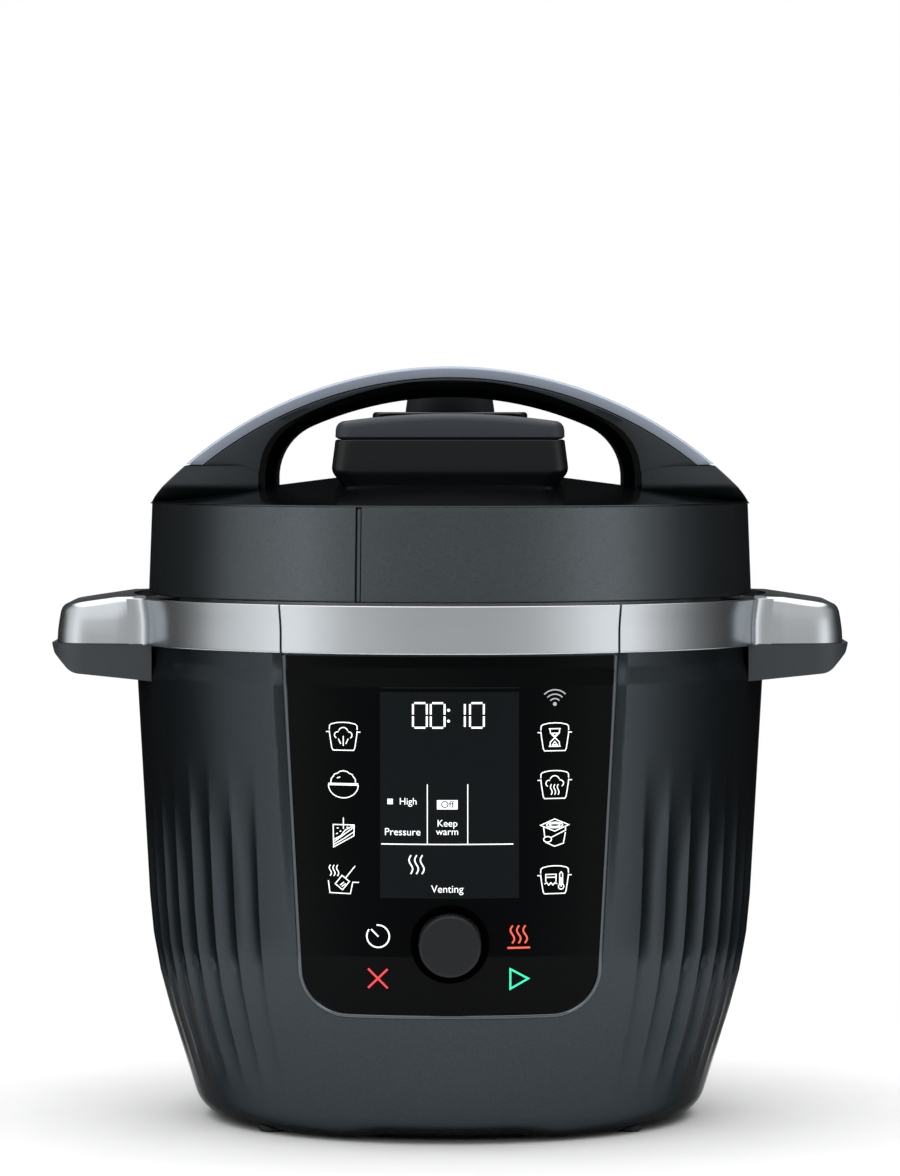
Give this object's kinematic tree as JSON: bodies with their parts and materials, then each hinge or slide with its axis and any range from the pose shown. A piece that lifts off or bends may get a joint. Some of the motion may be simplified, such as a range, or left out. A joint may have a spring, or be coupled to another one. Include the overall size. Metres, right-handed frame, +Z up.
{
  "type": "electric pressure cooker",
  "caption": "Countertop electric pressure cooker: fluted tapered body, glass control panel with a dial, two side handles, and a twist-lock lid with an arched handle over a steel inner pot.",
  "frame": {"origin": "on the floor under the pot's axis, the middle of the bounding box", "axes": "+X to the right seen from the front, +Y from the front to the back, +Z up; the control panel faces -Y and the power inlet +Y"},
  "size_m": [0.3382, 0.2851, 0.321],
  "materials": {
    "body_abs": "dark metallic, satin gloss",
    "lid_abs": "dark slate metallic flake, satin",
    "gloss_abs": "polished moulding",
    "matte_abs": "fine texture",
    "cap_coat": "satin blue-grey",
    "trim_coat": "satin graphite silver",
    "bezel_coat": "dark bright edge",
    "panel_glass": "polished black",
    "steel": "brushed",
    "pressed_steel": "satin",
    "aluminium": "cast, turned top",
    "element": "oxidised",
    "screw_steel": "zinc",
    "silicone": "translucent white silicone",
    "foot_rubber": "matt",
    "valve_plastic": "satin",
    "board": "solder mask",
    "display_frame": "white moulding",
    "cup_plastic": "smoked clear"
  },
  "bodies": {
    "base": {"housing_shell": "body_abs", "base_plate": "matte_abs", "base_screws": "screw_steel", "foot_front_left": "foot_rubber", "foot_front_right": "foot_rubber", "foot_rear_left": "foot_rubber", "foot_rear_right": "foot_rubber", "ring_carrier": "matte_abs", "trim_ring_front": "trim_coat", "trim_ring_left": "trim_coat", "trim_ring_right": "trim_coat", "trim_ring_rear": "trim_coat", "handle_cover_left": "trim_coat", "handle_cover_right": "trim_coat", "handle_grip_left": "matte_abs", "handle_grip_right": "matte_abs", "inner_liner": "pressed_steel", "bayonet_ring": "pressed_steel", "heating_plate": "aluminium", "heating_element": "element", "sensor_bracket": "pressed_steel", "sensor_spring": "screw_steel", "power_board": "board", "control_board": "board", "display_module": "display_frame", "control_glass": "panel_glass", "panel_bezel": "bezel_coat", "dial_ring": "gloss_abs", "encoder_body": "display_frame", "power_inlet": "matte_abs", "inlet_pins": "pressed_steel", "cup_rails": "matte_abs"},
    "pot": {"inner_pot": "steel"},
    "seal": {"sealing_ring": "silicone"},
    "lid": {"lid_cover": "lid_abs", "handle_root_left": "gloss_abs", "handle_root_right": "gloss_abs", "lid_handle": "gloss_abs", "handle_cap": "cap_coat", "lid_liner": "steel", "lid_screws": "screw_steel", "seal_rack": "steel", "anti_block_shield": "steel", "steam_pipe": "pressed_steel", "steam_housing": "gloss_abs", "release_housing": "gloss_abs", "release_spring": "screw_steel"},
    "steam_cover": {"steam_cap": "matte_abs"},
    "valve": {"steam_valve": "valve_plastic"},
    "button": {"release_button": "matte_abs"},
    "float": {"float_valve": "pressed_steel"},
    "shaft": {"encoder_shaft": "pressed_steel"},
    "dial": {"dial_knob": "matte_abs"},
    "sensor": {"temperature_sensor": "aluminium"},
    "cup": {"condensation_cup": "cup_plastic"}
  },
  "joints": [
    {"name": "pot_lift", "type": "slide", "parent": "base", "child": "pot", "axis": [0, 0, 1], "range_m": [0, 0.18]},
    {"name": "lid_lift", "type": "slide", "parent": "pot", "child": "seal", "axis": [0, 0, 1], "range_m": [0, 0.16]},
    {"name": "lid_turn", "type": "hinge", "parent": "seal", "child": "lid", "pos_m": [0, 0, 0.22], "axis": [0, 0, 1], "range_deg": [0, 30]},
    {"name": "steam_cover_lift", "type": "slide", "parent": "lid", "child": "steam_cover", "axis": [0, 0, 1], "range_m": [0, 0.05]},
    {"name": "steam_valve_rise", "type": "slide", "parent": "lid", "child": "valve", "axis": [0, 0, 1], "range_m": [0, 0.0025]},
    {"name": "release_press", "type": "slide", "parent": "lid", "child": "button", "axis": [0, 0, -1], "range_m": [0, 0.004], "stiffness_N_per_m": 600, "springref_m": -0.002, "deforming": ["release_spring"]},
    {"name": "float_rise", "type": "slide", "parent": "lid", "child": "float", "axis": [0, 0, 1], "range_m": [0, 0.004]},
    {"name": "dial_push", "type": "slide", "parent": "base", "child": "shaft", "axis": [0, 1, 0], "range_m": [0, 0.0012], "stiffness_N_per_m": 1500, "springref_m": -0.0006},
    {"name": "dial_turn", "type": "hinge", "parent": "shaft", "child": "dial", "pos_m": [0, -0.13, 0.0854], "axis": [0, -1, 0], "continuous": true},
    {"name": "sensor_press", "type": "slide", "parent": "base", "child": "sensor", "axis": [0, 0, 1], "range_m": [-0.003, 0], "stiffness_N_per_m": 400, "springref_m": 0.004, "deforming": ["sensor_spring"]},
    {"name": "cup_pull", "type": "slide", "parent": "base", "child": "cup", "axis": [0, 1, 0], "range_m": [0, 0.04]}
  ]
}
